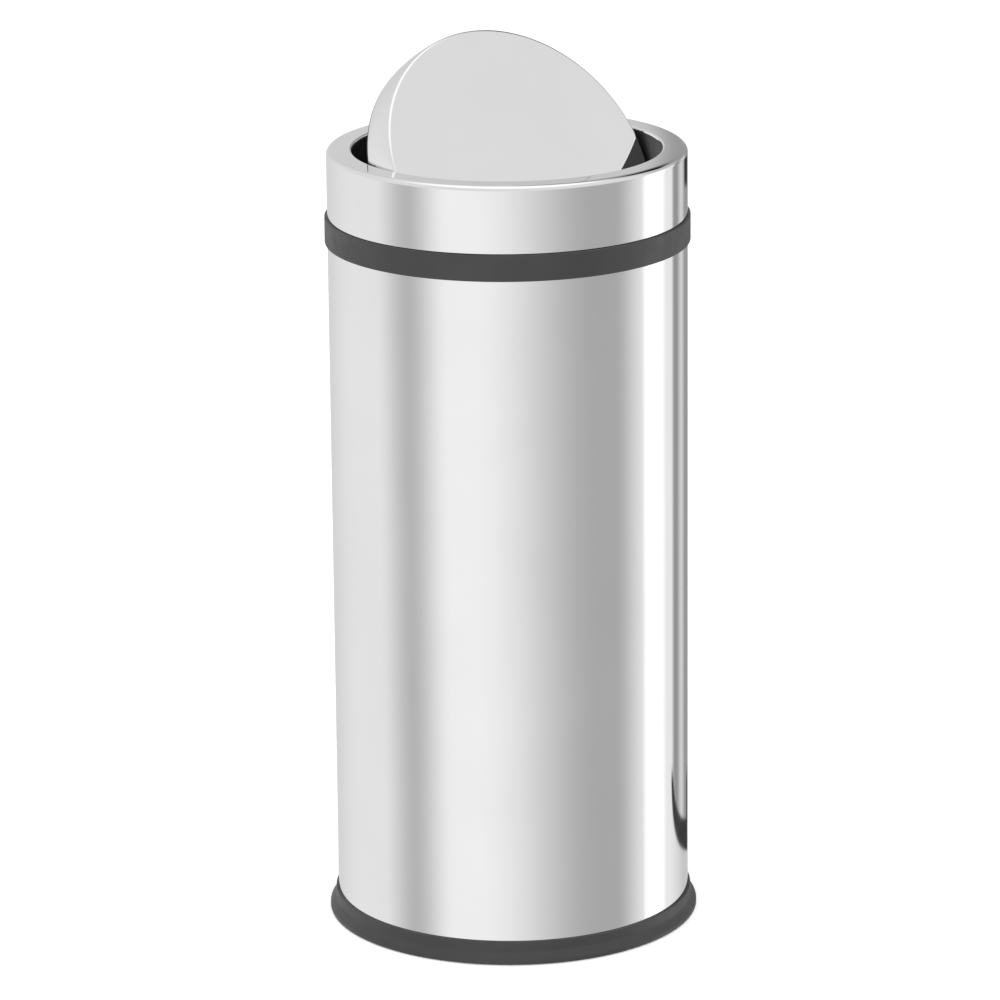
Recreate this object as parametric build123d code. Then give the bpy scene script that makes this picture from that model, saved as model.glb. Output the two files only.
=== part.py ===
from build123d import *
import math
import os

# Flip lid bin: round steel body, lift-off lid ring with a weighted flap that swings both ways, inner bucket with a bail.
# Millimetres. +Z up, origin at the middle of the base on the floor. The flap's pivot axis is along X, the front is -Y.
# Every piece is drawn where it lies with the flap swung open and its front edge down inside the opening.

# ---------------------------------------------------------------- driving dimensions
body_r = 145.0          # outer radius of the steel tube
sheet = 0.7             # steel sheet of body, lid ring and flap
base_top = 18.4         # top edge of the plinth ring
base_r = 152.0          # widest radius of the plinth ring
pad_h = 0.5             # how far the floor pads stand below the plinth ring
band_r = 147.25         # outer radius of the collar band
band_z0, band_z1 = 566.4, 587.8
ring_z0, ring_z1 = 588.1, 642.1     # steel lid ring
open_r = 124.6          # radius of the opening
pivot_z = 615.84        # height of the flap's pivot axis
flap_r = 123.2          # the flap's skirt is a zone of this sphere about the pivot
face_h = 24.93          # face above the pivot axis when the flap is closed
skirt_h = -6.2          # lower edge of the steel skirt, measured the same way
edge_h = -8.03          # lower edge of the cover's flange, which shows as a dark line under the skirt
open_deg = 54.5         # how far the flap is open at rest
swing_deg = 80.0        # travel from closed to each stop
bucket_r = 121.5        # outer radius of the bucket at its rim
bucket_foot_r = 115.5
bucket_z0, bucket_z1 = 6.9, 566.0
bucket_wall = 0.6
bail_r = 130.3          # radius of the bail's bow
bail_wire_r = 2.25
bail_z = 552.0          # height of the bail's pivot axis
bail_rest_deg = 15.0    # how far the bail hangs below level
pin_r = 3.0             # shoulder of the flap's pivot pins
bush_clear = 0.05       # radial running clearance of the pins in their bushes
screw_r = 1.75

os.makedirs("parts", exist_ok=True)


# ---------------------------------------------------------------- helpers
def outline(points):
    """A closed face in the XZ plane from (radius, height, corner radius) points."""
    n = len(points)
    ends = []
    for i in range(n):
        x, z, f = points[i]
        ax, az, _ = points[i - 1]
        bx, bz, _ = points[(i + 1) % n]
        la, lb = math.hypot(ax - x, az - z), math.hypot(bx - x, bz - z)
        ua, ub = ((ax - x) / la, (az - z) / la), ((bx - x) / lb, (bz - z) / lb)
        if f <= 0:
            ends.append(((x, z), None, (x, z)))
            continue
        half = math.acos(max(-1, min(1, ua[0] * ub[0] + ua[1] * ub[1]))) / 2
        d = f / math.tan(half)
        t0, t1 = (x + ua[0] * d, z + ua[1] * d), (x + ub[0] * d, z + ub[1] * d)
        m = (ua[0] + ub[0], ua[1] + ub[1])
        lm = math.hypot(*m)
        c = f / math.sin(half)
        mid = (x + m[0] / lm * (c - f), z + m[1] / lm * (c - f))
        ends.append((t0, mid, t1))
    edges = []
    for i in range(n):
        t0, mid, t1 = ends[i]
        if mid is not None:
            edges.append(ThreePointArc((t0[0], 0, t0[1]), (mid[0], 0, mid[1]), (t1[0], 0, t1[1])))
        nx = ends[(i + 1) % n][0]
        if math.hypot(nx[0] - t1[0], nx[1] - t1[1]) > 1e-6:
            edges.append(Line((t1[0], 0, t1[1]), (nx[0], 0, nx[1])))
    return make_face(Wire(edges).edges())


def turned(*points):
    """A solid turned about Z from (radius, height, corner radius) points."""
    return revolve(outline(points), axis=Axis.Z)


def rod(x0, x1, r, y=0.0, z=0.0):
    """A cylinder along X."""
    return Pos((x0 + x1) / 2, y, z) * Rot(0, 90, 0) * Cylinder(r, abs(x1 - x0))


def post(z0, z1, r, x=0.0, y=0.0):
    """A cylinder along Z."""
    return Pos(x, y, (z0 + z1) / 2) * Cylinder(r, z1 - z0)


def block(x0, x1, y0, y1, z0, z1):
    return Pos((x0 + x1) / 2, (y0 + y1) / 2, (z0 + z1) / 2) * Box(x1 - x0, y1 - y0, z1 - z0)


def around(shape, degrees):
    return Rot(0, 0, degrees) * shape


def mirror_x(shape):
    return mirror(shape, about=Plane.YZ)


def swung(shape):
    """From the flap's own frame, with the pivot at the origin and the face up, to its open place in the bin."""
    return Pos(0, 0, pivot_z) * Rot(open_deg, 0, 0) * shape


def pan_screw(x, y, z_head, head_r, head_h, shaft_r, shaft_len, down=True):
    """A pan-head screw with a cross recess. z_head is the underside of the head; down is the way the shaft points."""
    s = 1 if down else -1
    head = post(z_head, z_head + head_h, head_r) if down else post(z_head - head_h, z_head, head_r)
    top = z_head + s * head_h
    edge = head.edges().filter_by(GeomType.CIRCLE).sort_by(Axis.Z)[-1 if down else 0]
    head = fillet(edge, head_h * 0.45)
    slot = Box(head_r * 1.1, 0.9, head_h) + Box(0.9, head_r * 1.1, head_h)
    head -= Pos(0, 0, top) * slot
    shaft = post(z_head - shaft_len, z_head, shaft_r) if down else post(z_head, z_head + shaft_len, shaft_r)
    return Pos(x, y, 0) * (head + shaft)


def save(shape, name):
    export_step(shape, f"parts/{name}.step")


def group(shapes):
    return Compound(children=[s for s in shapes])


# ---------------------------------------------------------------- body
inner_r = body_r - sheet
tube = turned((inner_r, 5.5, 0), (body_r, 5.5, 0), (body_r, 585.3, 0), (inner_r, 585.3, 0))
# the sheet's ends lap over each other inside, at the back
lap = turned((inner_r - 0.7, 20.0, 0), (inner_r + 0.05, 20.0, 0), (inner_r + 0.05, 560.0, 0), (inner_r - 0.7, 560.0, 0)) & block(-6, 6, 100, 150, 0, 600)
save(tube + lap, "body_shell")

# collar band: a channel pushed over the tube's top edge
band_in = 141.2
collar_band = turned(
    (band_in, 562.0, 0.6), (inner_r - 0.1, 562.0, 0), (inner_r - 0.1, 585.4, 0), (body_r + 0.1, 585.4, 0),
    (body_r + 0.1, band_z0, 0), (band_r, band_z0, 0.7), (band_r, band_z1, 0.9), (band_in, band_z1, 1.0),
)
save(collar_band, "collar_band")

# plinth ring: a channel under the tube's lower edge, flared at the floor, with a flange for the base plate
flange_r, flange_top = 128.0, 4.3
plinth = turned(
    (flange_r, pad_h, 0.4), (base_r, pad_h, 1.0), (base_r, 4.2, 2.2), (147.7, 10.5, 5.0), (146.9, base_top, 0.5),
    (body_r + 0.1, base_top, 0), (body_r + 0.1, 5.3, 0), (inner_r - 0.1, 5.3, 0), (inner_r - 0.1, 16.0, 0),
    (141.4, 16.0, 0.5), (141.4, flange_top, 0), (flange_r, flange_top, 0.4),
)
pad_rc, pad_r, pad_seat = 139.0, 8.0, 2.6
screw_rc = 134.5
for k in range(6):
    plinth -= around(post(0, pad_seat, pad_r + 0.1, pad_rc, 0), 60 * k)
    plinth -= around(post(1.6, 6, screw_r + 0.03, screw_rc, 0), 60 * k + 30)
save(plinth, "base_ring")

pad = post(0, pad_seat - 0.05, pad_r)
pad = Pos(pad_rc, 0, 0) * fillet(pad.edges().filter_by(GeomType.CIRCLE).sort_by(Axis.Z)[0], 0.5)
save(group([around(pad, 60 * k) for k in range(6)]), "floor_pads")

# base plate with stiffening ribs under it
plate = turned((0, 4.4, 0), (141.2, 4.4, 0), (141.2, 6.4, 0.4), (0, 6.4, 0))
plate += turned((30, 1.6, 0.3), (32, 1.6, 0.3), (32, 4.5, 0), (30, 4.5, 0))
plate += turned((124, 1.6, 0.3), (126, 1.6, 0.3), (126, 4.5, 0), (124, 4.5, 0))
for k in range(8):
    plate += around(block(31, 125, -1, 1, 1.6, 4.5), 45 * k)
for k in range(6):
    plate -= around(post(3, 8, screw_r + 0.25, screw_rc, 0), 60 * k + 30)
save(plate, "base_plate")
save(group([around(pan_screw(screw_rc, 0, 6.45, 3.6, 2.2, screw_r, 4.75), 60 * k + 30) for k in range(6)]), "base_screws")

# ---------------------------------------------------------------- lid
lip_z = 640.2
lid_ring = turned(
    (inner_r, ring_z0, 0), (body_r, ring_z0, 0), (body_r, ring_z1, 4.4), (open_r, ring_z1, 1.7),
    (open_r, lip_z, 0), (open_r + sheet, lip_z, 0), (open_r + sheet, ring_z1 - sheet, 1.0), (inner_r, ring_z1 - sheet, 3.7),
)
save(lid_ring, "lid_ring")

# frame: collar round the opening, shelf that closes the ring's underside, skirt that centres the lid in the body
collar_out = 127.2
shelf_z0, shelf_z1 = 589.4, 591.6
plug_r, plug_z = 140.5, 572.0
frame_solid = turned(
    (open_r, 570.6, 0.6), (collar_out, 570.6, 0.6), (collar_out, shelf_z0, 0), (plug_r - 2.2, shelf_z0, 0),
    (plug_r - 2.2, plug_z, 0.6), (plug_r, plug_z, 0.6), (plug_r, shelf_z0, 0), (inner_r - 0.3, shelf_z0, 0),
    (inner_r - 0.3, shelf_z1, 0), (collar_out, shelf_z1, 0), (collar_out, lip_z - 0.1, 0.5), (open_r, lip_z - 0.1, 0.5),
)
boss_end = 134.0
boss_r = 9.0
for side in (0, 180):
    boss = rod(125.6, boss_end, boss_r, z=pivot_z) + block(125.6, boss_end - 2, -1.5, 1.5, shelf_z1 - 0.5, pivot_z)
    frame_solid += around(boss, side)
for side in (0, 180):
    frame_solid -= around(rod(120, 140, 2.45, z=pivot_z), side)
bracket_rc = 132.5
for k in range(4):
    frame_solid -= around(post(585, 595, 2.3, bracket_rc, 0), 45 + 90 * k)
# stiffening ribs between collar and shelf
for k in range(12):
    if k % 6 == 0:
        continue
    rib = block(126.2, 138.0, -0.9, 0.9, shelf_z1 - 0.5, 612.0) & Pos(126.2, 0, shelf_z1 - 0.5) * Rot(90, 0, 0) * Cylinder(21.5, 4)
    frame_solid += around(rib, 30 * k)
save(frame_solid, "lid_frame")

gasket = turned((141.3, ring_z0, 0.3), (143.7, ring_z0, 0.3), (143.7, shelf_z0 - 0.05, 0), (141.3, shelf_z0 - 0.05, 0))
save(gasket, "lid_gasket")

bracket_z = shelf_z1 + 0.05
bracket = block(127.6, 144.5, -8, 8, bracket_z, bracket_z + 1.2) + block(142.6, 146, -8, 8, bracket_z, 606)
bracket = bracket & post(580, 620, inner_r - 0.05)
bracket += post(bracket_z + 1.0, bracket_z + 4.2, 4.0, bracket_rc, 0)
bracket -= post(bracket_z - 1, bracket_z + 6, 2.05, bracket_rc, 0)
save(group([around(bracket, 45 + 90 * k) for k in range(4)]), "ring_brackets")
save(group([around(pan_screw(bracket_rc, 0, shelf_z0 - 0.05, 4.0, 2.4, 2.0, 9.0, down=False), 45 + 90 * k) for k in range(4)]), "lid_screws")

# pivot pins: a head with a stop finger inside the flap, a shoulder the flap turns on, a thread through the collar's boss
head_x0, head_x1 = 103.6, 106.6
finger_w, finger_r = 4.0, 13.0
pin = rod(head_x0, head_x1, 7.0) + block(head_x0, head_x1, -finger_w / 2, finger_w / 2, -finger_r, -5.0)
pin += rod(head_x1 - 0.5, 124.55, pin_r) + rod(124.5, 139.0, 2.4)
pin = Pos(0, 0, pivot_z) * pin
save(pin, "pivot_pin_right")
save(mirror_x(pin), "pivot_pin_left")

nut = Pos(136.1, 0, pivot_z) * Rot(0, 90, 0) * extrude(RegularPolygon(4.6, 6), amount=2.0, both=True)
nut -= rod(130, 142, 2.45, z=pivot_z)
save(group([nut, mirror_x(nut)]), "pivot_nuts")

washer = rod(123.5, 124.2, 6.0, z=pivot_z) - rod(120, 128, pin_r + 0.1, z=pivot_z)
save(group([washer, mirror_x(washer)]), "pivot_washers")

# ---------------------------------------------------------------- flap, in its own frame: pivot at the origin, face up
def zone(radius, top, bottom, corner):
    """A half section of the flap's outer form, cut down by an offset: a slice of a sphere with a rounded top edge."""
    rect = Pos(radius / 2, (top + bottom) / 2) * Rectangle(radius, top - bottom)
    face = Circle(radius) & rect
    tip = face.vertices().sort_by_distance((math.sqrt(radius**2 - top**2), top, 0))[0]
    return fillet(tip, corner)


outer = zone(flap_r, face_h, skirt_h, 2.4)
inner = zone(flap_r - sheet, face_h - sheet, skirt_h - 1.0, 1.7)
flap_shell = revolve(Plane.XZ * (outer - inner), axis=Axis.Z)
for side in (0, 180):
    flap_shell -= around(rod(115, 130, 5.2), side)
save(swung(flap_shell), "flap_shell")

# underside cover: a rim inside the skirt, two bosses for the pivots, a shallow dome below
dome_drop = 46.0
rim_r = flap_r - sheet - 0.15
wall = 2.0
base_h = edge_h
chord = math.sqrt(rim_r**2 - base_h**2)
rise = dome_drop + base_h
dome_r = (chord**2 + rise**2) / (2 * rise)
dome_c = -dome_drop + dome_r
rim_face = (Circle(rim_r) - Circle(rim_r - wall)) & Pos(rim_r / 2, (base_h + 14) / 2) * Rectangle(rim_r, 14 - base_h)
flange_face = (Circle(flap_r - 0.1) - Circle(rim_r - wall)) & Pos(rim_r / 2 + 1, (base_h + skirt_h - 0.05) / 2) * Rectangle(rim_r + 2, skirt_h - 0.05 - base_h)
rim_face = rim_face + flange_face
cap_face = (Pos(0, dome_c) * Circle(dome_r) - Pos(0, dome_c) * Circle(dome_r - wall)) & Pos((rim_r - 0.3) / 2, -30 + base_h / 2 + 2) * Rectangle(rim_r - 0.3, 60 - base_h)
dome = revolve(Plane.XZ * rim_face, axis=Axis.Z) + revolve(Plane.XZ * cap_face, axis=Axis.Z)
hub_x0 = 108.0
ball = Sphere(rim_r)
for side in (0, 180):
    hub = rod(hub_x0, 125, 9.0) + rod(hub_x0, hub_x0 + 2.4, finger_r)
    hub += block(head_x0 + 0.4, hub_x0 + 0.5, 8.5, finger_r, 0.9, 5.0) + block(head_x0 + 0.4, hub_x0 + 0.5, -finger_r, -8.5, 0.9, 5.0)
    dome += around(hub, side) & ball
bush_out = 4.5
for side in (0, 180):
    dome -= around(rod(100, 130, bush_out + 0.02), side)
# stand-offs for the weight
weight_z0, weight_z1, weight_r = -36.0, -26.0, 42.0
pillar_rc = 28.0
for k in range(3):
    pillar = around(post(-44.0, weight_z0 - 0.05, 5.0, pillar_rc, 0), 90 + 120 * k)
    dome += pillar & Pos(0, 0, dome_c) * Sphere(dome_r - 0.5)
for k in range(3):
    dome -= around(post(-41.5, weight_z0 + 2, screw_r + 0.03, pillar_rc, 0), 90 + 120 * k)
save(swung(dome), "flap_dome")

weight = turned((0, weight_z0, 0), (weight_r, weight_z0, 1.5), (weight_r, weight_z1, 1.5), (0, weight_z1, 0))
for k in range(3):
    weight -= around(post(weight_z0 - 5, weight_z1 + 5, screw_r + 0.4, pillar_rc, 0), 90 + 120 * k)
save(swung(weight), "counterweight")
save(swung(group([around(pan_screw(pillar_rc, 0, weight_z1 + 0.05, 3.8, 2.4, screw_r, 15.2), 90 + 120 * k) for k in range(3)])), "weight_screws")

bush = rod(107.0, 121.8, bush_out) + rod(107.0, 108.0 - 0.05, 6.5)
bush -= rod(100, 130, pin_r + bush_clear)
save(swung(bush), "pivot_bush_right")
save(swung(mirror_x(bush)), "pivot_bush_left")

# ---------------------------------------------------------------- bucket
def bucket_at(z):
    return bucket_foot_r + (bucket_r - bucket_foot_r) * (z - bucket_z0) / (bucket_z1 - bucket_z0)


bead = 1.6
outer_line, inner_line = [], []
for z0 in (70.0, 490.0):
    for dz, out in ((-5, 0), (-2, bead), (2, bead), (5, 0)):
        r = bucket_at(z0 + dz) + out
        outer_line.append((r, z0 + dz, 0.8))
        inner_line.append((r - bucket_wall, z0 + dz, 0.8))
bucket = turned(
    (bucket_foot_r - bucket_wall, bucket_z0, 0), (bucket_foot_r, bucket_z0, 0), *outer_line,
    (bucket_r, bucket_z1, 0), (bucket_r - bucket_wall, bucket_z1, 0), *reversed(inner_line),
)
# rolled rim
roll_r, roll_c = 2.2, bucket_r + 1.7
bucket += Pos(0, 0, bucket_z1) * Torus(roll_c, roll_r)
save(bucket, "bucket_shell")

floor_z = 14.0
bottom_r = bucket_at(floor_z) - bucket_wall - 0.1
bucket_bottom = turned(
    (0, floor_z + 1.6, 0), (bottom_r - 14, floor_z + 1.6, 3), (bottom_r - 11, floor_z, 1.0), (bottom_r - bucket_wall - 0.1, floor_z, 0.4),
    (bottom_r - bucket_wall - 0.1, bucket_z0 + 0.4, 0), (bottom_r - 0.1, bucket_z0 + 0.4, 0), (bottom_r - 0.1, floor_z + bucket_wall, 0.9),
    (bottom_r - 11.3, floor_z + bucket_wall, 1.0), (bottom_r - 14.2, floor_z + 1.6 + bucket_wall, 3), (0, floor_z + 1.6 + bucket_wall, 0),
)
save(bucket_bottom, "bucket_bottom")

# ears: a saddle on the bucket's wall with a raised bridge that the bail hooks into
ear_z0, ear_z1 = 537.0, 562.0
saddle_r0, saddle_r1 = bucket_r + 0.1, bucket_r + 1.6
saddle = turned((saddle_r0, ear_z0, 0), (saddle_r1, ear_z0, 0), (saddle_r1, ear_z1, 0), (saddle_r0, ear_z1, 0)) & block(110, 135, -17, 17, 530, 570)
saddle -= block(110, 135, -6.5, 6.5, bail_z - 6.5, bail_z + 6.5)
bridge_x0, bridge_x1 = 126.0, 127.5
bridge = block(122.4, bridge_x1, -9, 9, bail_z - 7, bail_z + 7) - block(110, bridge_x0, -7.5, 7.5, bail_z - 8, bail_z + 8)
bridge -= rod(120, 130, bail_wire_r + 0.15, z=bail_z)
ear = saddle + bridge
rivet_spots = [(-13.0, 543.0), (13.0, 543.0), (-13.0, 557.0), (13.0, 557.0)]


def at_ear(y, z, shape):
    """shape is drawn along X from the bucket's axis and is turned round it to the spot y."""
    return Rot(0, 0, math.degrees(math.asin(y / saddle_r1))) * Pos(0, 0, z) * shape


for y, z in rivet_spots:
    ear -= at_ear(y, z, rod(115, 130, 1.6))
save(group([ear, mirror_x(ear)]), "bucket_ears")
rivets = []
for y, z in rivet_spots:
    rivet = rod(saddle_r1 + 0.02, saddle_r1 + 1.3, 3.0) + rod(bucket_r + 0.06, saddle_r1 + 0.3, 1.5)
    rivet = fillet(rivet.edges().filter_by(GeomType.CIRCLE).sort_by(Axis.X)[-1], 0.9)
    rivets.append(at_ear(y, z, rivet))
save(group(rivets + [mirror_x(s) for s in rivets]), "ear_rivets")

# ---------------------------------------------------------------- bail, hanging back over the bucket's wall
bend = 3.5
hook_x = 124.2


def laid(shape):
    return Pos(0, 0, bail_z) * Rot(-bail_rest_deg, 0, 0) * shape


bow = ThreePointArc((bail_r, bend, 0), (0, bend + bail_r, 0), (-bail_r, bend, 0))
q = bend * math.sqrt(0.5)
right_bend = ThreePointArc((bail_r - bend, 0, 0), (bail_r - bend + q, bend - q, 0), (bail_r, bend, 0))
left_bend = ThreePointArc((-bail_r, bend, 0), (-bail_r + bend - q, bend - q, 0), (-bail_r + bend, 0, 0))
path = Wire([Line((hook_x, 0, 0), (bail_r - bend, 0, 0)), right_bend, bow, left_bend, Line((-bail_r + bend, 0, 0), (-hook_x, 0, 0))])
wire = sweep(Plane(origin=(hook_x, 0, 0), z_dir=(1, 0, 0)) * Circle(bail_wire_r), path=path)
wire += rod(hook_x - 0.2, hook_x + 0.8, 3.6) + rod(-hook_x - 0.8, -hook_x + 0.2, 3.6)
save(laid(wire), "bail_wire")
half_grip = math.radians(22)
grip_path = ThreePointArc(
    (bail_r * math.sin(half_grip), bend + bail_r * math.cos(half_grip), 0), (0, bend + bail_r, 0),
    (-bail_r * math.sin(half_grip), bend + bail_r * math.cos(half_grip), 0),
)
start = Plane(origin=grip_path @ 0, z_dir=grip_path % 0)
grip = sweep(start * (Circle(6.0) - Circle(bail_wire_r + 0.05)), path=grip_path)
save(laid(grip), "bail_grip")
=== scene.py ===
import bpy
import bmesh
import math
from mathutils import Matrix, Vector


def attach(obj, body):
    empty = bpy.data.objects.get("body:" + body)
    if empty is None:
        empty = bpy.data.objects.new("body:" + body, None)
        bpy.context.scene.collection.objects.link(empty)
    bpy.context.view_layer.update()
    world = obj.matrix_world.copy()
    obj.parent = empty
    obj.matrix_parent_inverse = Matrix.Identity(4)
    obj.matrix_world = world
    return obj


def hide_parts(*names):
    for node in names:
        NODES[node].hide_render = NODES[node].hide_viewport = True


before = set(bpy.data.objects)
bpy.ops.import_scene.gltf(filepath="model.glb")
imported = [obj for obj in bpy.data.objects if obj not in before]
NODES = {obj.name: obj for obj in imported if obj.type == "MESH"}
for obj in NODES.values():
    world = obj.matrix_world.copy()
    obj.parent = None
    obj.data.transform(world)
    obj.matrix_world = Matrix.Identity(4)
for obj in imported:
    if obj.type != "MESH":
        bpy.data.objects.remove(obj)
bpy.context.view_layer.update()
MM = 0.001

# ------------------------------------------------------------------ numbers shared with the CAD
BODY_R, SHEET = 145.0, 0.7
OPEN_R = 124.6
RING_Z0, RING_Z1, LIP_Z = 588.1, 642.1, 640.2
BAND_R, BAND_Z0, BAND_Z1, BAND_IN = 147.25, 566.4, 587.8, 141.2
PIVOT_Z, FLAP_R, FACE_H, SKIRT_H, EDGE_H = 615.84, 123.2, 24.93, -6.2, -8.03
OPEN_DEG = 54.5
BUCKET_R, BUCKET_FOOT_R, BUCKET_Z0, BUCKET_Z1, BUCKET_WALL = 121.5, 115.5, 6.9, 566.0, 0.6
BAIL_R, BAIL_Z, BAIL_REST, BEND = 130.3, 552.0, 15.0, 3.5
SWUNG = Matrix.Translation((0, 0, PIVOT_Z * MM)) @ Matrix.Rotation(math.radians(OPEN_DEG), 4, "X")


# ------------------------------------------------------------------ mesh helpers
def rounded(points, steps=7):
    """(radius, height, corner radius) points as a plain list of (radius, height), with each corner as a real arc."""
    out, n = [], len(points)
    for i, (x, z, f) in enumerate(points):
        if f <= 0:
            out.append((x, z))
            continue
        ax, az = points[i - 1][:2]
        bx, bz = points[(i + 1) % n][:2]
        la, lb = math.hypot(ax - x, az - z), math.hypot(bx - x, bz - z)
        ua, ub = ((ax - x) / la, (az - z) / la), ((bx - x) / lb, (bz - z) / lb)
        half = math.acos(max(-1, min(1, ua[0] * ub[0] + ua[1] * ub[1]))) / 2
        d, c = f / math.tan(half), f / math.sin(half)
        m = (ua[0] + ub[0], ua[1] + ub[1])
        lm = math.hypot(*m)
        cx, cz = x + m[0] / lm * c, z + m[1] / lm * c
        t0, t1 = (x + ua[0] * d, z + ua[1] * d), (x + ub[0] * d, z + ub[1] * d)
        a0, a1 = math.atan2(t0[1] - cz, t0[0] - cx), math.atan2(t1[1] - cz, t1[0] - cx)
        turn = (a1 - a0 + math.pi) % (2 * math.pi) - math.pi
        for k in range(steps + 1):
            a = a0 + turn * k / steps
            out.append((cx + f * math.cos(a), cz + f * math.sin(a)))
    return out


def object_from(bm, name, angle=32.0, weighted=True):
    bmesh.ops.recalc_face_normals(bm, faces=bm.faces)
    me = bpy.data.meshes.new(name)
    bm.to_mesh(me)
    bm.free()
    for p in me.polygons:
        p.use_smooth = True
    me.set_sharp_from_angle(angle=math.radians(angle))
    ob = bpy.data.objects.new(name, me)
    bpy.context.scene.collection.objects.link(ob)
    if weighted:
        w = ob.modifiers.new("normals", "WEIGHTED_NORMAL")
        w.keep_sharp = True
        w.weight = 100
    return ob


def spin(bm, loop, seg=288, closed=True):
    """Adds a turned surface from (radius, height) points in millimetres. Points at radius 0 close on the axis."""
    rings = []
    for r, z in loop:
        if r < 1e-6:
            rings.append([bm.verts.new((0, 0, z * MM))])
        else:
            rings.append([bm.verts.new((r * MM * math.cos(2 * math.pi * k / seg), r * MM * math.sin(2 * math.pi * k / seg), z * MM)) for k in range(seg)])
    n = len(rings)
    for i in range(n if closed else n - 1):
        a, b = rings[i], rings[(i + 1) % n]
        if len(a) == 1 and len(b) == 1:
            continue
        for k in range(seg):
            k2 = (k + 1) % seg
            if len(a) == 1:
                bm.faces.new((a[0], b[k], b[k2]))
            elif len(b) == 1:
                bm.faces.new((a[k], b[0], a[k2]))
            else:
                bm.faces.new((a[k], b[k], b[k2], a[k2]))


def turned(name, *loops, seg=288, angle=32.0, at=None):
    bm = bmesh.new()
    for loop in loops:
        spin(bm, loop, seg)
    if at is not None:
        bmesh.ops.transform(bm, matrix=at, verts=bm.verts)
    return object_from(bm, name, angle)


def cut(ob, cutters):
    """Cuts the cutters out of ob for good, before its normals are weighted."""
    for c in cutters:
        m = ob.modifiers.new("cut", "BOOLEAN")
        m.operation, m.object, m.solver = "DIFFERENCE", c, "EXACT"
        ob.modifiers.move(len(ob.modifiers) - 1, 0)
    dg = bpy.context.evaluated_depsgraph_get()
    kept = [m for m in ob.modifiers if m.type != "BOOLEAN"]
    for m in kept:
        m.show_viewport = False
    dg.update()
    me = bpy.data.meshes.new_from_object(ob.evaluated_get(dg), depsgraph=dg)
    for m in [m for m in ob.modifiers if m.type == "BOOLEAN"]:
        ob.modifiers.remove(m)
    for m in kept:
        m.show_viewport = True
    ob.data = me
    for c in cutters:
        bpy.data.objects.remove(c)
    return ob


def rod_x(x0, x1, r, y=0.0, z=0.0, seg=48):
    bm = bmesh.new()
    bmesh.ops.create_cone(bm, cap_ends=True, segments=seg, radius1=r * MM, radius2=r * MM, depth=abs(x1 - x0) * MM)
    bmesh.ops.transform(bm, matrix=Matrix.Translation(((x0 + x1) / 2 * MM, y * MM, z * MM)) @ Matrix.Rotation(math.pi / 2, 4, "Y"), verts=bm.verts)
    return object_from(bm, "cutter", weighted=False)


def tube_along(name, centre, radius_at, seg=28, at=None):
    """A round bar whose radius may vary along a list of points, with its ends closed."""
    bm = bmesh.new()
    rings = []
    for i, p in enumerate(centre):
        a, b = Vector(centre[max(0, i - 1)]), Vector(centre[min(len(centre) - 1, i + 1)])
        t = (b - a).normalized()
        u = t.orthogonal().normalized() if i == 0 else (rings[-1][1] - t * rings[-1][1].dot(t)).normalized()
        v = t.cross(u)
        r = radius_at(i / (len(centre) - 1))
        verts = [bm.verts.new((Vector(p) + (u * math.cos(2 * math.pi * k / seg) + v * math.sin(2 * math.pi * k / seg)) * r) * MM) for k in range(seg)]
        rings.append((verts, u))
    for (a, _), (b, _) in zip(rings, rings[1:]):
        for k in range(seg):
            bm.faces.new((a[k], b[k], b[(k + 1) % seg], a[(k + 1) % seg]))
    bm.faces.new(rings[0][0])
    bm.faces.new(list(reversed(rings[-1][0])))
    if at is not None:
        bmesh.ops.transform(bm, matrix=at, verts=bm.verts)
    return object_from(bm, name, 50.0)


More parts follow.
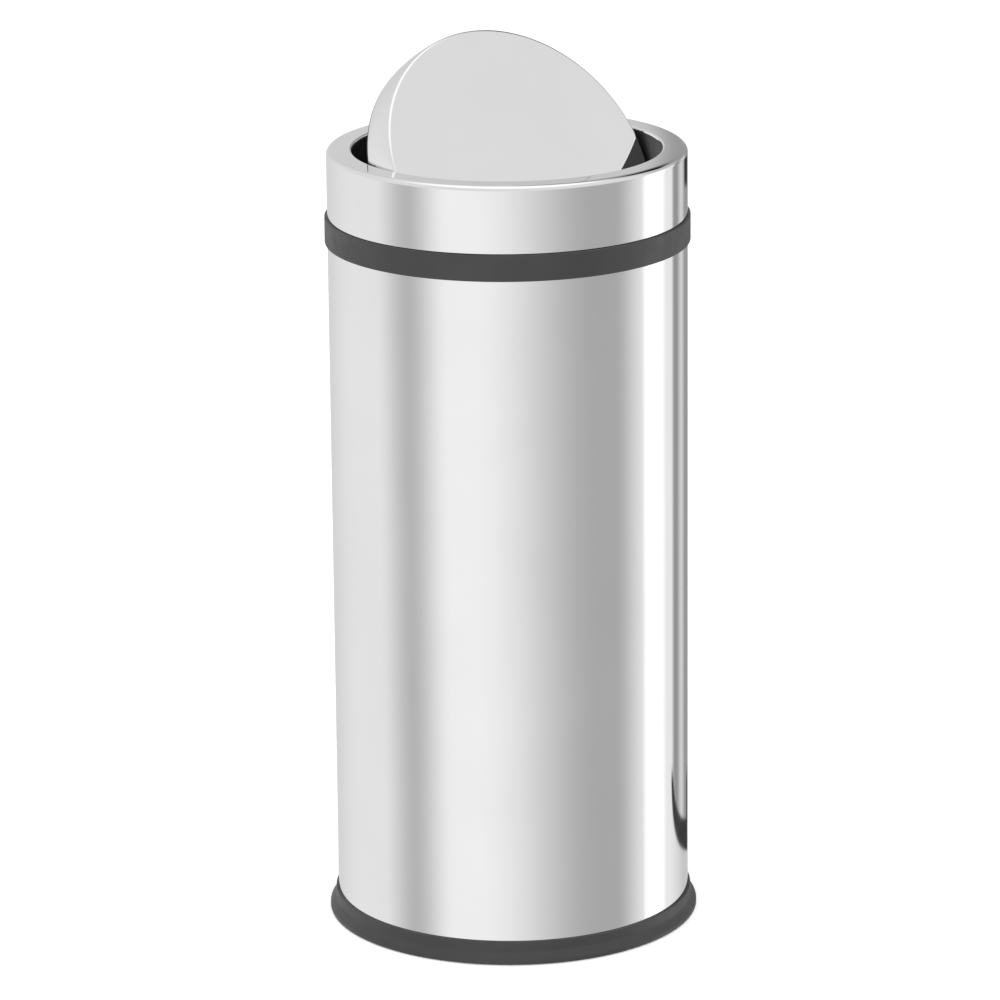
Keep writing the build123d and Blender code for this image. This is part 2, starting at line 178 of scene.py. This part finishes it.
# ------------------------------------------------------------------ material helpers
class Tree:
    def __init__(self, tree):
        self.t = tree
        self.n = tree.nodes
        self.l = tree.links

    def node(self, kind, **values):
        nd = self.n.new(kind)
        for k, v in values.items():
            if hasattr(nd, k):
                setattr(nd, k, v)
        return nd

    def link(self, a, b):
        self.l.new(a, b)

    def math(self, op, a, b=None, c=None):
        nd = self.node("ShaderNodeMath", operation=op)
        for i, v in enumerate((a, b, c)):
            if v is None:
                continue
            if isinstance(v, (int, float)):
                nd.inputs[i].default_value = v
            else:
                self.link(v, nd.inputs[i])
        return nd.outputs[0]

    def step(self, value, lo, hi, a=0.0, b=1.0):
        nd = self.node("ShaderNodeMapRange", interpolation_type="SMOOTHSTEP", clamp=True)
        self.link(value, nd.inputs["Value"])
        nd.inputs["From Min"].default_value, nd.inputs["From Max"].default_value = lo, hi
        nd.inputs["To Min"].default_value, nd.inputs["To Max"].default_value = a, b
        return nd.outputs[0]

    def scaled(self, value, lo, hi, a, b):
        nd = self.node("ShaderNodeMapRange", interpolation_type="LINEAR", clamp=True)
        self.link(value, nd.inputs["Value"])
        nd.inputs["From Min"].default_value, nd.inputs["From Max"].default_value = lo, hi
        nd.inputs["To Min"].default_value, nd.inputs["To Max"].default_value = a, b
        return nd.outputs[0]

    def coords(self, scale=(1, 1, 1)):
        tc = self.node("ShaderNodeTexCoord")
        mp = self.node("ShaderNodeMapping")
        mp.inputs["Scale"].default_value = scale
        self.link(tc.outputs["Object"], mp.inputs["Vector"])
        return mp.outputs["Vector"]

    def noise(self, scale, detail=3.0, rough=0.5, stretch=(1, 1, 1)):
        nd = self.node("ShaderNodeTexNoise")
        nd.inputs["Scale"].default_value = scale
        nd.inputs["Detail"].default_value = detail
        nd.inputs["Roughness"].default_value = rough
        self.link(self.coords(stretch), nd.inputs["Vector"])
        return nd.outputs["Fac"]

    def ramp(self, value, *stops):
        nd = self.node("ShaderNodeValToRGB")
        el = nd.color_ramp.elements
        while len(el) < len(stops):
            el.new(0.5)
        for e, (p, c) in zip(el, stops):
            e.position = p
            e.color = (*c, 1.0)
        self.link(value, nd.inputs["Fac"])
        return nd.outputs["Color"]

    def bump(self, height, strength, distance):
        nd = self.node("ShaderNodeBump")
        nd.inputs["Strength"].default_value = strength
        nd.inputs["Distance"].default_value = distance
        self.link(height, nd.inputs["Height"])
        return nd.outputs["Normal"]


def material(name):
    m = bpy.data.materials.new(name)
    m.use_nodes = True
    t = Tree(m.node_tree)
    bsdf = m.node_tree.nodes.get("Principled BSDF")
    return m, t, bsdf


def grey(v, tint=(1.0, 1.0, 1.0)):
    return (v * tint[0], v * tint[1], v * tint[2])


def steel(name, low=0.80, high=0.83, rough=(0.035, 0.06), lines=(3000, 3000, 3)):
    """Bright polished stainless: near mirror, with faint polishing lines along the sheet and soft handling marks."""
    m, t, b = material(name)
    b.inputs["Metallic"].default_value = 1.0
    cloud = t.noise(9.0, 3.0, 0.55)
    t.link(t.ramp(cloud, (0.3, grey(low, (1, 1, 1.002))), (0.75, grey(high))), b.inputs["Base Color"])
    marks = t.noise(38.0, 5.0, 0.6, (1, 1, 0.35))
    t.link(t.scaled(marks, 0.35, 0.75, rough[0], rough[1]), b.inputs["Roughness"])
    fine = t.noise(1.0, 2.0, 0.5, lines)
    wave = t.noise(5.0, 1.0, 0.4)
    h = t.math("ADD", t.math("MULTIPLY", fine, 0.05), wave)
    t.link(t.bump(h, 0.018, 0.002), b.inputs["Normal"])
    return m


def plastic(name, low, high, rough=(0.38, 0.5), grain=1400.0, depth=0.00006, tint=(1, 1, 1), spec=0.5):
    """Moulded plastic with spark-eroded grain and a slight cloudiness."""
    m, t, b = material(name)
    cloud = t.noise(24.0, 4.0, 0.6)
    t.link(t.ramp(cloud, (0.3, grey(low, tint)), (0.72, grey(high, tint))), b.inputs["Base Color"])
    t.link(t.scaled(t.noise(60.0, 4.0, 0.6), 0.3, 0.7, rough[0], rough[1]), b.inputs["Roughness"])
    b.inputs["Specular IOR Level"].default_value = spec
    t.link(t.bump(t.noise(grain, 2.0, 0.6), 0.35, depth), b.inputs["Normal"])
    return m


def metal(name, low, high, rough, tint=(1, 1, 1), scale=60.0, bump=0.1, depth=0.0002, stretch=(1, 1, 1)):
    m, t, b = material(name)
    b.inputs["Metallic"].default_value = 1.0
    t.link(t.ramp(t.noise(scale, 4.0, 0.6, stretch), (0.3, grey(low, tint)), (0.72, grey(high, tint))), b.inputs["Base Color"])
    t.link(t.scaled(t.noise(scale * 1.7, 4.0, 0.6, stretch), 0.3, 0.7, rough[0], rough[1]), b.inputs["Roughness"])
    t.link(t.bump(t.noise(scale * 6, 3.0, 0.6, stretch), bump, depth), b.inputs["Normal"])
    return m


STEEL_BODY = steel("polished_steel_body", rough=(0.02, 0.036))
STEEL_RING = steel("polished_steel_ring", rough=(0.02, 0.036))
STEEL_FLAP = steel("polished_steel_flap", rough=(0.03, 0.055), lines=(40, 3000, 3000))
DARK = plastic("dark_grey_plastic", 0.033, 0.039, (0.42, 0.55))
BLACK = plastic("black_plastic", 0.016, 0.021, (0.34, 0.46), grain=1100.0)
BLACK_COVER = plastic("black_cover_plastic", 0.017, 0.023, (0.4, 0.52), grain=900.0, depth=0.0001)
RUBBER = plastic("black_rubber", 0.020, 0.030, (0.65, 0.8), grain=500.0, depth=0.0002)
GRIP = plastic("grip_plastic", 0.018, 0.026, (0.45, 0.6), grain=700.0, depth=0.00012)
NYLON = plastic("natural_nylon", 0.66, 0.74, (0.3, 0.42), grain=600.0, depth=0.00005, tint=(1.0, 0.985, 0.94))
ZINC = metal("zinc_plate", 0.58, 0.68, (0.22, 0.34), tint=(0.98, 0.99, 1.0), scale=300.0)
WIRE = metal("zinc_wire", 0.55, 0.66, (0.25, 0.38), tint=(0.98, 0.99, 1.0), scale=160.0)
IRON = metal("cast_iron", 0.05, 0.09, (0.55, 0.75), scale=90.0, bump=0.6, depth=0.0006)


def galvanised():
    """Hot-dip galvanised sheet: a patchwork of zinc crystals, each a little lighter, darker or duller than the next."""
    m, t, b = material("galvanised_steel")
    b.inputs["Metallic"].default_value = 1.0
    vor = t.node("ShaderNodeTexVoronoi", feature="F1")
    vor.inputs["Scale"].default_value = 90.0
    vor.inputs["Randomness"].default_value = 1.0
    warp = t.node("ShaderNodeTexNoise")
    warp.inputs["Scale"].default_value = 60.0
    co = t.coords((1, 1, 0.8))
    t.link(co, warp.inputs["Vector"])
    add = t.node("ShaderNodeVectorMath", operation="MULTIPLY_ADD")
    t.link(warp.outputs["Color"], add.inputs[0])
    add.inputs[1].default_value = (0.006, 0.006, 0.006)
    t.link(co, add.inputs[2])
    t.link(add.outputs[0], vor.inputs["Vector"])
    sep = t.node("ShaderNodeSeparateColor")
    t.link(vor.outputs["Color"], sep.inputs["Color"])
    t.link(t.ramp(sep.outputs["Red"], (0.0, (0.42, 0.43, 0.45)), (0.5, (0.53, 0.54, 0.56)), (1.0, (0.66, 0.67, 0.69))), b.inputs["Base Color"])
    t.link(t.scaled(sep.outputs["Green"], 0.0, 1.0, 0.3, 0.5), b.inputs["Roughness"])
    t.link(t.bump(vor.outputs["Distance"], 0.08, 0.0004), b.inputs["Normal"])
    return m


GALV = galvanised()


def dress(ob, mat, body, replaces=()):
    ob.data.materials.clear()
    ob.data.materials.append(mat)
    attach(ob, body)
    if replaces:
        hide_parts(*replaces)
    return ob


def finish_node(node, mat):
    """A CAD node that stays: a new material in its slots."""
    ob = NODES[node]
    if not ob.material_slots:
        ob.data.materials.append(mat)
    for s in ob.material_slots:
        s.link = "OBJECT"
        s.material = mat
    return ob


# ------------------------------------------------------------------ camera, at the photograph's viewing angle
UNIT = 0.145
PSI = math.radians(36.93)
DIST, HEIGHT = 30.347 * UNIT, 11.137 * UNIT
PITCH, YAW, ROLL = math.radians(16.068), math.radians(-0.106), math.radians(-0.544)
spin_z = Matrix.Rotation(-PSI, 3, "Z")
fwd = Vector((math.sin(YAW) * math.cos(PITCH), math.cos(YAW) * math.cos(PITCH), -math.sin(PITCH)))
right = Vector((math.cos(YAW), -math.sin(YAW), 0))
up = right.cross(fwd)
r2 = right * math.cos(ROLL) + up * math.sin(ROLL)
u2 = -right * math.sin(ROLL) + up * math.cos(ROLL)
fwd, r2, u2 = spin_z @ fwd, spin_z @ r2, spin_z @ u2
eye = spin_z @ Vector((0, -DIST, HEIGHT))
cam_data = bpy.data.cameras.new("camera")
cam_data.sensor_width = 36.0
cam_data.sensor_fit = "HORIZONTAL"
cam_data.lens = 5615.08 / 1000 * 36.0
cam_data.clip_end = 100.0
cam = bpy.data.objects.new("camera", cam_data)
bpy.context.scene.collection.objects.link(cam)
cam.matrix_world = Matrix((
    (r2.x, u2.x, -fwd.x, eye.x),
    (r2.y, u2.y, -fwd.y, eye.y),
    (r2.z, u2.z, -fwd.z, eye.z),
    (0, 0, 0, 1),
))
bpy.context.scene.camera = cam

# ------------------------------------------------------------------ the body
tube = [(BODY_R - SHEET, 5.5), (BODY_R, 5.5), (BODY_R, 585.3), (BODY_R - SHEET, 585.3)]
body = turned("body_tube", tube, seg=320)
dress(body, STEEL_BODY, "body", ["body_shell"])

# laser weld down the back of the tube, and the sheet's lap inside it
bm = bmesh.new()
section = [(-0.9, 0.0), (-0.55, 0.10), (0.0, 0.16), (0.55, 0.10), (0.9, 0.0), (0.9, -0.3), (-0.9, -0.3)]
rows = []
for k in range(181):
    z = 18.6 + (566.2 - 18.6) * k / 180
    ripple = 0.02 * math.sin(k * 2.1)
    rows.append([bm.verts.new((x * MM, (BODY_R + y + (ripple if 0 < y else 0)) * MM, z * MM)) for x, y in section])
for a, b in zip(rows, rows[1:]):
    for k in range(len(section)):
        k2 = (k + 1) % len(section)
        bm.faces.new((a[k], b[k], b[k2], a[k2]))
bm.faces.new(rows[0])
bm.faces.new(list(reversed(rows[-1])))
seam = object_from(bm, "body_weld_seam", 60)
dress(seam, STEEL_BODY, "body")

band = turned("collar_trim", rounded([
    (BAND_IN, 562.0, 0.6), (BODY_R - SHEET - 0.1, 562.0, 0), (BODY_R - SHEET - 0.1, 585.4, 0), (BODY_R + 0.1, 585.4, 0),
    (BODY_R + 0.1, BAND_Z0, 0), (BAND_R, BAND_Z0, 0.7), (BAND_R, BAND_Z1, 0.9), (BAND_IN, BAND_Z1, 1.0)]))
dress(band, DARK, "body", ["collar_band"])

finish_node("base_ring", DARK)
finish_node("base_plate", BLACK)
finish_node("base_screws", ZINC)
finish_node("floor_pads", RUBBER)

# ------------------------------------------------------------------ the lid
ring = turned("lid_ring_steel", rounded([
    (BODY_R - SHEET, RING_Z0, 0), (BODY_R, RING_Z0, 0.25), (BODY_R, RING_Z1, 4.4), (OPEN_R, RING_Z1, 1.7),
    (OPEN_R, LIP_Z, 0), (OPEN_R + SHEET, LIP_Z, 0), (OPEN_R + SHEET, RING_Z1 - SHEET, 1.0), (BODY_R - SHEET, RING_Z1 - SHEET, 3.7)], 14), seg=320)
dress(ring, STEEL_RING, "lid", ["lid_ring"])
finish_node("lid_frame", BLACK)
finish_node("lid_gasket", RUBBER)
for n in ("ring_brackets", "lid_screws", "pivot_nuts", "pivot_pin_left", "pivot_pin_right"):
    finish_node(n, ZINC)
finish_node("pivot_washers", NYLON)


# ------------------------------------------------------------------ the flap
def zone(radius, top, bottom, corner, steps=26, corner_steps=10):
    """Half outline of a slice of a ball with a rounded top edge, from the axis on top down to the skirt's edge."""
    cz = top - corner
    cr = math.sqrt((radius - corner) ** 2 - cz ** 2)
    a0 = math.atan2(cz, cr)
    out = [(0.0, top)]
    out += [(cr * f, top) for f in (0.25, 0.5, 0.75, 0.93)]
    for k in range(corner_steps + 1):
        a = math.pi / 2 + (a0 - math.pi / 2) * k / corner_steps
        out.append((cr + corner * math.cos(a), cz + corner * math.sin(a)))
    e = math.asin(bottom / radius)
    out += [(radius * math.cos(a0 + (e - a0) * k / steps), radius * math.sin(a0 + (e - a0) * k / steps)) for k in range(1, steps + 1)]
    return out


outer = zone(FLAP_R, FACE_H, SKIRT_H, 2.4)
inner = zone(FLAP_R - SHEET, FACE_H - SHEET, SKIRT_H, 1.7)
shell = turned("flap_steel", outer + list(reversed(inner)), seg=320, at=None)
shell = cut(shell, [rod_x(110, 130, 5.2), rod_x(-130, -110, 5.2)])
shell.data.transform(SWUNG)
shell.data.set_sharp_from_angle(angle=math.radians(32))
dress(shell, STEEL_FLAP, "flap", ["flap_shell"])
finish_node("flap_dome", BLACK_COVER)

# moulded rings and a gate boss on the cover under the flap, on its ball surface
RIM_R, COVER_DROP = FLAP_R - SHEET - 0.15, 46.0
CHORD2 = RIM_R ** 2 - EDGE_H ** 2
COVER_R = (CHORD2 + (COVER_DROP + EDGE_H) ** 2) / (2 * (COVER_DROP + EDGE_H))
COVER_C = COVER_R - COVER_DROP


def bead(ring_r, bar_r, proud):
    """Outline of a round bar sunk into the cover's surface at a radius, so that it stands proud by a little."""
    a = math.asin(ring_r / COVER_R)
    d = COVER_R + proud - bar_r
    return [(d * math.sin(a) + bar_r * math.cos(t), COVER_C - d * math.cos(a) + bar_r * math.sin(t)) for t in [2 * math.pi * k / 20 for k in range(20)]]


rings = turned("cover_moulded_rings", bead(34, 1.1, 0.55), bead(66, 1.1, 0.55), bead(98, 1.1, 0.55), seg=224, angle=60, at=SWUNG)
dress(rings, BLACK_COVER, "flap")
boss_line = [(0.0, -46.7), (5.6, -46.7), (6.1, -46.6), (6.4, -46.3), (6.5, -45.2), (0.0, -45.2)]
boss = turned("cover_gate_boss", boss_line, seg=96, angle=50, at=SWUNG)
dress(boss, BLACK_COVER, "flap")
finish_node("counterweight", IRON)
finish_node("weight_screws", ZINC)
finish_node("pivot_bush_left", NYLON)
finish_node("pivot_bush_right", NYLON)


# ------------------------------------------------------------------ the bucket
def bucket_at(z):
    return BUCKET_FOOT_R + (BUCKET_R - BUCKET_FOOT_R) * (z - BUCKET_Z0) / (BUCKET_Z1 - BUCKET_Z0)


outer_line, inner_line = [], []
for z0 in (70.0, 490.0):
    for dz, out in ((-5, 0), (-2, 1.6), (2, 1.6), (5, 0)):
        r = bucket_at(z0 + dz) + out
        outer_line.append((r, z0 + dz, 0.8))
        inner_line.append((r - BUCKET_WALL, z0 + dz, 0.8))
wall = rounded([(BUCKET_FOOT_R - BUCKET_WALL, BUCKET_Z0, 0), (BUCKET_FOOT_R, BUCKET_Z0, 0), *outer_line,
                (BUCKET_R, BUCKET_Z1, 0), (BUCKET_R - BUCKET_WALL, BUCKET_Z1, 0), *reversed(inner_line)], 5)
roll = [(BUCKET_R + 1.7 + 2.2 * math.cos(2 * math.pi * k / 24), BUCKET_Z1 + 2.2 * math.sin(2 * math.pi * k / 24)) for k in range(24)]
pail = turned("bucket_wall", wall, roll, seg=256)
dress(pail, GALV, "bucket", ["bucket_shell"])
finish_node("bucket_bottom", GALV)
finish_node("bucket_ears", GALV)
finish_node("ear_rivets", ZINC)

# ------------------------------------------------------------------ the bail
finish_node("bail_wire", WIRE)
LAID = Matrix.Translation((0, 0, BAIL_Z * MM)) @ Matrix.Rotation(-math.radians(BAIL_REST), 4, "X")
half = math.radians(22)
points = []
for k in range(121):
    a = math.pi / 2 + half - 2 * half * k / 120
    points.append((BAIL_R * math.cos(a), BEND + BAIL_R * math.sin(a), 0))


def grip_radius(s):
    """Round-ended barrel with finger grooves."""
    end = min(s, 1 - s)
    body_r = 5.95 if end > 0.03 else 5.95 - 1.1 * (1 - end / 0.03) ** 2
    groove = 0.35 * (0.5 - 0.5 * math.cos(2 * math.pi * (s - 0.14) / 0.12)) if 0.14 < s < 0.86 else 0.0
    return body_r - groove


grip = tube_along("bail_handgrip", points, grip_radius, at=LAID)
dress(grip, GRIP, "bail", ["bail_grip"])

# ------------------------------------------------------------------ floor and studio
me = bpy.data.meshes.new("floor")
s = 30.0
me.from_pydata([(-s, -s, 0), (s, -s, 0), (s, s, 0), (-s, s, 0)], [], [(0, 1, 2, 3)])
floor = bpy.data.objects.new("floor", me)
bpy.context.scene.collection.objects.link(floor)
m, t, b = material("pale_floor")
t.link(t.ramp(t.noise(1.2, 2.0), (0.3, grey(0.90)), (0.7, grey(0.92))), b.inputs["Base Color"])
b.inputs["Roughness"].default_value = 0.9
b.inputs["Specular IOR Level"].default_value = 0.0
b.inputs["Emission Color"].default_value = (1, 1, 1, 1)
b.inputs["Emission Strength"].default_value = 0.28
me.materials.append(m)
floor.visible_glossy = False

world = bpy.data.worlds.new("studio")
bpy.context.scene.world = world
world.use_nodes = True
w = Tree(world.node_tree)
for nd in list(w.n):
    w.n.remove(nd)
tc = w.node("ShaderNodeTexCoord")
turn = w.node("ShaderNodeMapping", vector_type="POINT")
turn.inputs["Rotation"].default_value = (0, 0, PSI)
w.link(tc.outputs["Generated"], turn.inputs["Vector"])
sep = w.node("ShaderNodeSeparateXYZ")
w.link(turn.outputs["Vector"], sep.inputs["Vector"])
dx, dy, dz = sep.outputs
# azimuth in degrees: 0 is the side the photographer stands on, positive to their right
az = w.math("MULTIPLY", w.math("ARCTAN2", dx, w.math("MULTIPLY", dy, -1.0)), 180 / math.pi)
el = w.math("MULTIPLY", w.math("ARCSINE", dz), 180 / math.pi)


def layer(below, level, lo, hi, soft_lo, soft_hi, angle=None):
    """A panel of the studio between two angles, with soft edges, over what is below it."""
    angle = az if angle is None else angle
    rise = w.step(angle, lo - soft_lo / 2, lo + soft_lo / 2)
    fall = w.step(angle, hi - soft_hi / 2, hi + soft_hi / 2, 1.0, 0.0)
    mask = w.math("MULTIPLY", rise, fall)
    return mixed(below, level, mask)


def mixed(a, b, mask):
    inv = w.math("SUBTRACT", 1.0, mask)
    return w.math("ADD", w.math("MULTIPLY", inv, a), w.math("MULTIPLY", mask, b))


low = layer(0.70, 0.93, -145, 400, 60, 1)            # long softbox on the left
low = layer(low, 0.56, -80.5, 400, 28, 1)            # gap beside it
low = layer(low, 1.05, -52.5, 400, 30, 1)            # wide front softbox
low = layer(low, 0.472, 18, 400, 82, 1)              # its long falling edge, down to a grey wall
low = layer(low, 0.92, 84.5, 400, 28, 1)
low = layer(low, 1.45, 97.5, 400, 9, 1)              # strip light
low = layer(low, 0.96, 117, 400, 12, 1)


# the far light on the right stands in a black frame with a rounded foot, seen in the right edge of the tube
def round_foot(reach, floor_el, drop):
    """1 inside a window right of an angle and above its foot, whose corner is rounded."""
    u = w.math("MAXIMUM", w.math("DIVIDE", w.math("SUBTRACT", 164.0, az), reach), 0.0)
    v = w.math("MAXIMUM", w.math("DIVIDE", w.math("SUBTRACT", floor_el + drop, el), drop), 0.0)
    q = w.math("ADD", w.math("POWER", u, 3.5), w.math("POWER", v, 3.5))
    return w.step(q, 0.92, 1.08, 1.0, 0.0)


inside = layer(low, 0.34, 130.8, 400, 5.5, 1)
inside = layer(inside, 0.72, 141.5, 400, 9, 1)
inside = layer(inside, 0.34, 152, 400, 10, 1)
outer_foot = round_foot(35.9, -19.64, 1.04)
inner_foot = w.math("MULTIPLY", round_foot(33.2, -19.32, 0.72), w.step(az, 160.0, 164.0, 1.0, 0.0))
below = layer(low, 0.62, 140, 400, 34, 1)
low = mixed(below, inside, outer_foot)
frame_mask = w.math("MULTIPLY", w.math("MULTIPLY", outer_foot, w.math("SUBTRACT", 1.0, inner_foot)), w.step(el, -18.95, -18.75, 1.0, 0.0))
frame_mask = w.math("MULTIPLY", frame_mask, w.step(az, 166.0, 169.0, 1.0, 0.0))
low = mixed(low, 0.045, frame_mask)
top_of_frame = w.math("MULTIPLY", w.step(az, 152.0, 158.0), w.math("MULTIPLY", w.step(el, -12.92, -12.82), w.step(el, -12.0, -11.2, 1.0, 0.0)))
top_of_frame = w.math("MULTIPLY", top_of_frame, w.step(az, 166.0, 169.0, 1.0, 0.0))
low = mixed(low, 0.04, top_of_frame)
low = layer(low, 0.70, 173, 400, 13, 1)              # back to the softbox on the left

high = layer(0.86, 0.70, -400, -150, 1, 50)
high = layer(high, 0.64, 108, 400, 18, 1)            # dimmer far right corner
high = layer(high, 0.36, 138, 178.40, 22, 0.45)      # dark side of the room behind
high = layer(high, 1.25, 58, 95, 20, 1, el)          # ceiling softbox
slope = w.math("DIVIDE", w.math("SUBTRACT", el, 12.5), w.math("MAXIMUM", w.math("SUBTRACT", 180.0, az), 0.1))
dark = w.math("MULTIPLY", w.math("MULTIPLY", w.step(az, 124.0, 132.0), w.step(az, 173.0, 177.5, 1.0, 0.0)),
              w.math("MULTIPLY", w.step(el, 24.0, 34.0), w.math("MULTIPLY", w.step(el, 46.0, 54.0, 1.0, 0.0), w.step(slope, 1.32, 1.44, 1.0, 0.0))))
high = mixed(high, 0.02, dark)                       # black flag above it
env = mixed(low, high, w.step(el, 0.0, 12.0))
bg = w.node("ShaderNodeBackground")
w.link(env, bg.inputs["Strength"])
bg.inputs["Color"].default_value = (1, 1, 1, 1)
plain = w.node("ShaderNodeBackground")
plain.inputs["Color"].default_value = (1, 1, 1, 1)
plain.inputs["Strength"].default_value = 1.0
path = w.node("ShaderNodeLightPath")
mix = w.node("ShaderNodeMixShader")
w.link(path.outputs["Is Camera Ray"], mix.inputs[0])
w.link(bg.outputs[0], mix.inputs[1])
w.link(plain.outputs[0], mix.inputs[2])
out = w.node("ShaderNodeOutputWorld")
w.link(mix.outputs[0], out.inputs["Surface"])


def softbox(name, loc, size, energy):
    d = bpy.data.lights.new(name, "AREA")
    d.shape, d.size, d.size_y, d.energy = "RECTANGLE", size, size, energy
    o = bpy.data.objects.new(name, d)
    bpy.context.scene.collection.objects.link(o)
    o.location = loc
    o.rotation_euler = (Vector((0, 0, 0.3)) - Vector(loc)).to_track_quat("-Z", "Y").to_euler()
    o.visible_camera = False
    o.visible_glossy = False
    return o


softbox("softbox_top", (0.0, 0.0, 3.4), 3.0, 30.0)
softbox("softbox_front", (-1.6, -3.0, 2.4), 2.0, 16.0)

scene = bpy.context.scene
scene.view_settings.view_transform = "Standard"
scene.view_settings.look = "None"
scene.view_settings.exposure = 0.0
scene.view_settings.gamma = 1.0
